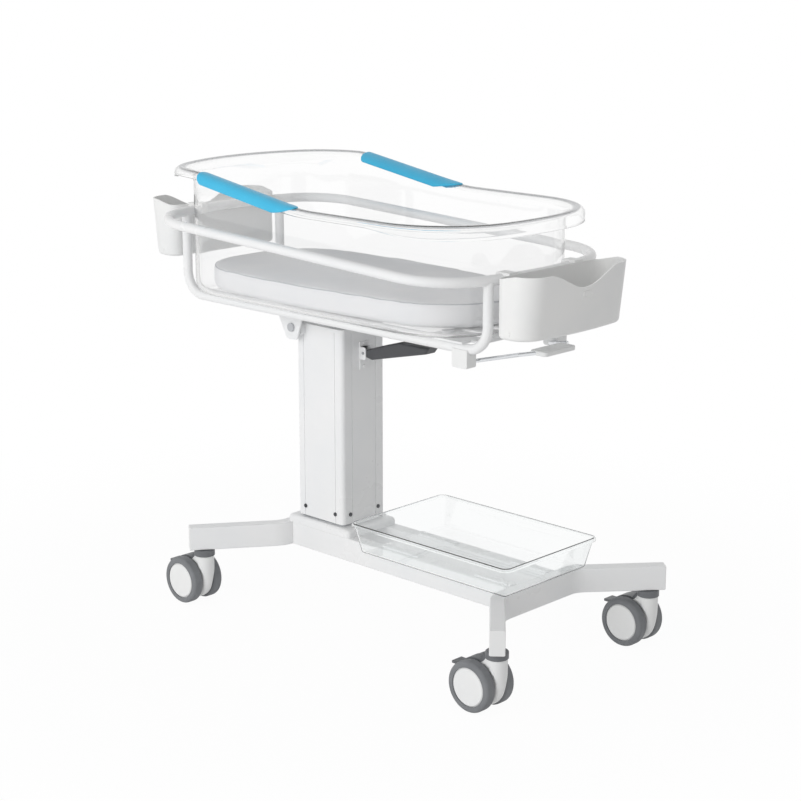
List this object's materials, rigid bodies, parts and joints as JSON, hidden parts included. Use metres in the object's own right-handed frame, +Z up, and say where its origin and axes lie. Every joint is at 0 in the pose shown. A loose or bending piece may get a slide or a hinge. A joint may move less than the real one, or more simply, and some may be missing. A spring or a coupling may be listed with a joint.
{
  "type": "hospital bassinet",
  "caption": "Clear tub with a mattress on a tilting tube frame, carried by a sliding column on a wheeled base with a storage tray and hook-on bins.",
  "frame": {"origin": "on the floor, under the middle of the overall length and width", "axes": "+X along the length towards the foot end with its release paddle, +Y across towards the far side, +Z up"},
  "size_m": [1.1243, 0.539, 0.9343],
  "materials": {
    "white_enamel": "satin",
    "grey_enamel": "satin",
    "clear_acrylic": "polished, clear",
    "clear_tray": "polished, clear",
    "sky_blue_plastic": "satin",
    "white_plastic": "satin",
    "dark_grey_plastic": "fine grain",
    "grey_tyre": "matt",
    "mattress_cover": "wipe-clean cover",
    "chrome": "polished",
    "bright_steel": "turned",
    "white_glide": "matt",
    "pad_rubber": "matt"
  },
  "bodies": {
    "base": {"base_beams": "white_enamel", "head_crossbar": "white_enamel", "foot_crossbar": "white_enamel", "arm_end_caps": "white_plastic", "base_plate": "white_enamel", "caster_stems": "bright_steel", "mast": "white_enamel", "upper_glides": "white_glide", "lift_spring_cylinder": "grey_enamel"},
    "swivel_head_near": {"caster_head_near_housing": "white_plastic", "caster_head_near_hood": "dark_grey_plastic"},
    "pedal_head_near": {"caster_head_near_pedal": "dark_grey_plastic"},
    "wheels_head_near": {"caster_head_near_tyres": "grey_tyre", "caster_head_near_hubs": "white_plastic"},
    "swivel_head_far": {"caster_head_far_housing": "white_plastic", "caster_head_far_hood": "dark_grey_plastic"},
    "pedal_head_far": {"caster_head_far_pedal": "dark_grey_plastic"},
    "wheels_head_far": {"caster_head_far_tyres": "grey_tyre", "caster_head_far_hubs": "white_plastic"},
    "swivel_foot_near": {"caster_foot_near_housing": "white_plastic", "caster_foot_near_hood": "dark_grey_plastic"},
    "pedal_foot_near": {"caster_foot_near_pedal": "dark_grey_plastic"},
    "wheels_foot_near": {"caster_foot_near_tyres": "grey_tyre", "caster_foot_near_hubs": "white_plastic"},
    "swivel_foot_far": {"caster_foot_far_housing": "white_plastic", "caster_foot_far_hood": "dark_grey_plastic"},
    "pedal_foot_far": {"caster_foot_far_pedal": "dark_grey_plastic"},
    "wheels_foot_far": {"caster_foot_far_tyres": "grey_tyre", "caster_foot_far_hubs": "white_plastic"},
    "column": {"outer_column": "white_enamel", "lower_glides": "white_glide", "column_screws": "bright_steel", "lift_spring_rod": "chrome", "column_head": "white_enamel", "tilt_pins": "bright_steel", "lever_bracket": "white_enamel", "lever_pin": "bright_steel"},
    "height_lever": {"lever_arm": "bright_steel", "lever_grip": "dark_grey_plastic"},
    "release_pin": {"lift_release_pin": "bright_steel"},
    "tilt_frame": {"guard_rail": "white_enamel", "near_cradle_tube": "white_enamel", "far_cradle_tube": "white_enamel", "tilt_saddle": "white_enamel", "foot_plate": "white_enamel", "rest_pads": "pad_rubber", "tilt_spring_cylinder": "grey_enamel", "release_blocks": "white_plastic"},
    "tilt_rod": {"tilt_spring_rod": "chrome"},
    "tilt_release": {"release_bail": "chrome", "release_paddle": "white_plastic"},
    "basin": {"tub": "clear_acrylic", "near_grip": "sky_blue_plastic", "far_grip": "sky_blue_plastic", "mattress": "mattress_cover"},
    "head_bin": {"head_bin": "white_plastic"},
    "foot_bin": {"foot_bin": "white_plastic", "label_holder": "white_plastic"},
    "tray": {"tray": "clear_tray"}
  },
  "joints": [
    {"name": "head_near_swivel", "type": "hinge", "parent": "base", "child": "swivel_head_near", "pos_m": [-0.3046, -0.222, 0.1], "axis": [0, 0, 1], "continuous": true},
    {"name": "head_near_roll", "type": "hinge", "parent": "swivel_head_near", "child": "wheels_head_near", "pos_m": [-0.3426, -0.222, 0.05], "axis": [0, 1, 0], "continuous": true},
    {"name": "head_near_brake", "type": "hinge", "parent": "swivel_head_near", "child": "pedal_head_near", "pos_m": [-0.3836, -0.222, 0.077], "axis": [0, -1, 0], "range_deg": [0, 15]},
    {"name": "head_far_swivel", "type": "hinge", "parent": "base", "child": "swivel_head_far", "pos_m": [-0.3046, 0.222, 0.1], "axis": [0, 0, 1], "continuous": true},
    {"name": "head_far_roll", "type": "hinge", "parent": "swivel_head_far", "child": "wheels_head_far", "pos_m": [-0.3426, 0.222, 0.05], "axis": [0, 1, 0], "continuous": true},
    {"name": "head_far_brake", "type": "hinge", "parent": "swivel_head_far", "child": "pedal_head_far", "pos_m": [-0.3836, 0.222, 0.077], "axis": [0, -1, 0], "range_deg": [0, 15]},
    {"name": "foot_near_swivel", "type": "hinge", "parent": "base", "child": "swivel_foot_near", "pos_m": [0.5304, -0.231, 0.1], "axis": [0, 0, 1], "continuous": true},
    {"name": "foot_near_roll", "type": "hinge", "parent": "swivel_foot_near", "child": "wheels_foot_near", "pos_m": [0.4924, -0.231, 0.05], "axis": [0, 1, 0], "continuous": true},
    {"name": "foot_near_brake", "type": "hinge", "parent": "swivel_foot_near", "child": "pedal_foot_near", "pos_m": [0.4514, -0.231, 0.077], "axis": [0, -1, 0], "range_deg": [0, 15]},
    {"name": "foot_far_swivel", "type": "hinge", "parent": "base", "child": "swivel_foot_far", "pos_m": [0.5304, 0.231, 0.1], "axis": [0, 0, 1], "continuous": true},
    {"name": "foot_far_roll", "type": "hinge", "parent": "swivel_foot_far", "child": "wheels_foot_far", "pos_m": [0.4924, 0.231, 0.05], "axis": [0, 1, 0], "continuous": true},
    {"name": "foot_far_brake", "type": "hinge", "parent": "swivel_foot_far", "child": "pedal_foot_far", "pos_m": [0.4514, 0.231, 0.077], "axis": [0, -1, 0], "range_deg": [0, 15]},
    {"name": "column_lift", "type": "slide", "parent": "base", "child": "column", "axis": [0, 0, 1], "range_m": [0, 0.2]},
    {"name": "height_lever_pull", "type": "hinge", "parent": "column", "child": "height_lever", "pos_m": [-0.0316, 0, 0.558], "axis": [0, -1, 0], "range_deg": [0, 8], "stiffness_Nm_per_rad": 4, "springref_deg": -5.73},
    {"name": "release_pin_press", "type": "slide", "parent": "column", "child": "release_pin", "axis": [0, 0, -1], "range_m": [0, 0.0118]},
    {"name": "tilt", "type": "hinge", "parent": "column", "child": "tilt_frame", "pos_m": [-0.1726, 0, 0.603], "axis": [0, 1, 0], "range_deg": [-10, 10]},
    {"name": "tilt_rod_slide", "type": "slide", "parent": "tilt_frame", "child": "tilt_rod", "axis": [1, 0, 0], "range_m": [-0.0075, 0.0075]},
    {"name": "tilt_release_pull", "type": "hinge", "parent": "tilt_frame", "child": "tilt_release", "pos_m": [0.3664, 0, 0.622], "axis": [0, -1, 0], "range_deg": [0, 10], "stiffness_Nm_per_rad": 3, "springref_deg": -8.59},
    {"name": "basin_lift_off", "type": "slide", "parent": "tilt_frame", "child": "basin", "axis": [0, 0, 1], "range_m": [0, 0.15]},
    {"name": "head_bin_lift_off", "type": "slide", "parent": "tilt_frame", "child": "head_bin", "axis": [0, 0, 1], "range_m": [0, 0.05]},
    {"name": "foot_bin_lift_off", "type": "slide", "parent": "tilt_frame", "child": "foot_bin", "axis": [0, 0, 1], "range_m": [0, 0.05]},
    {"name": "tray_lift_off", "type": "slide", "parent": "base", "child": "tray", "axis": [0, 0, 1], "range_m": [0, 0.1]}
  ],
  "couplings": [
    {"joint": "release_pin_press", "follows": "height_lever_pull", "m_per_rad": 0.082},
    {"joint": "tilt_rod_slide", "follows": "tilt", "m_per_rad": -0.042}
  ]
}
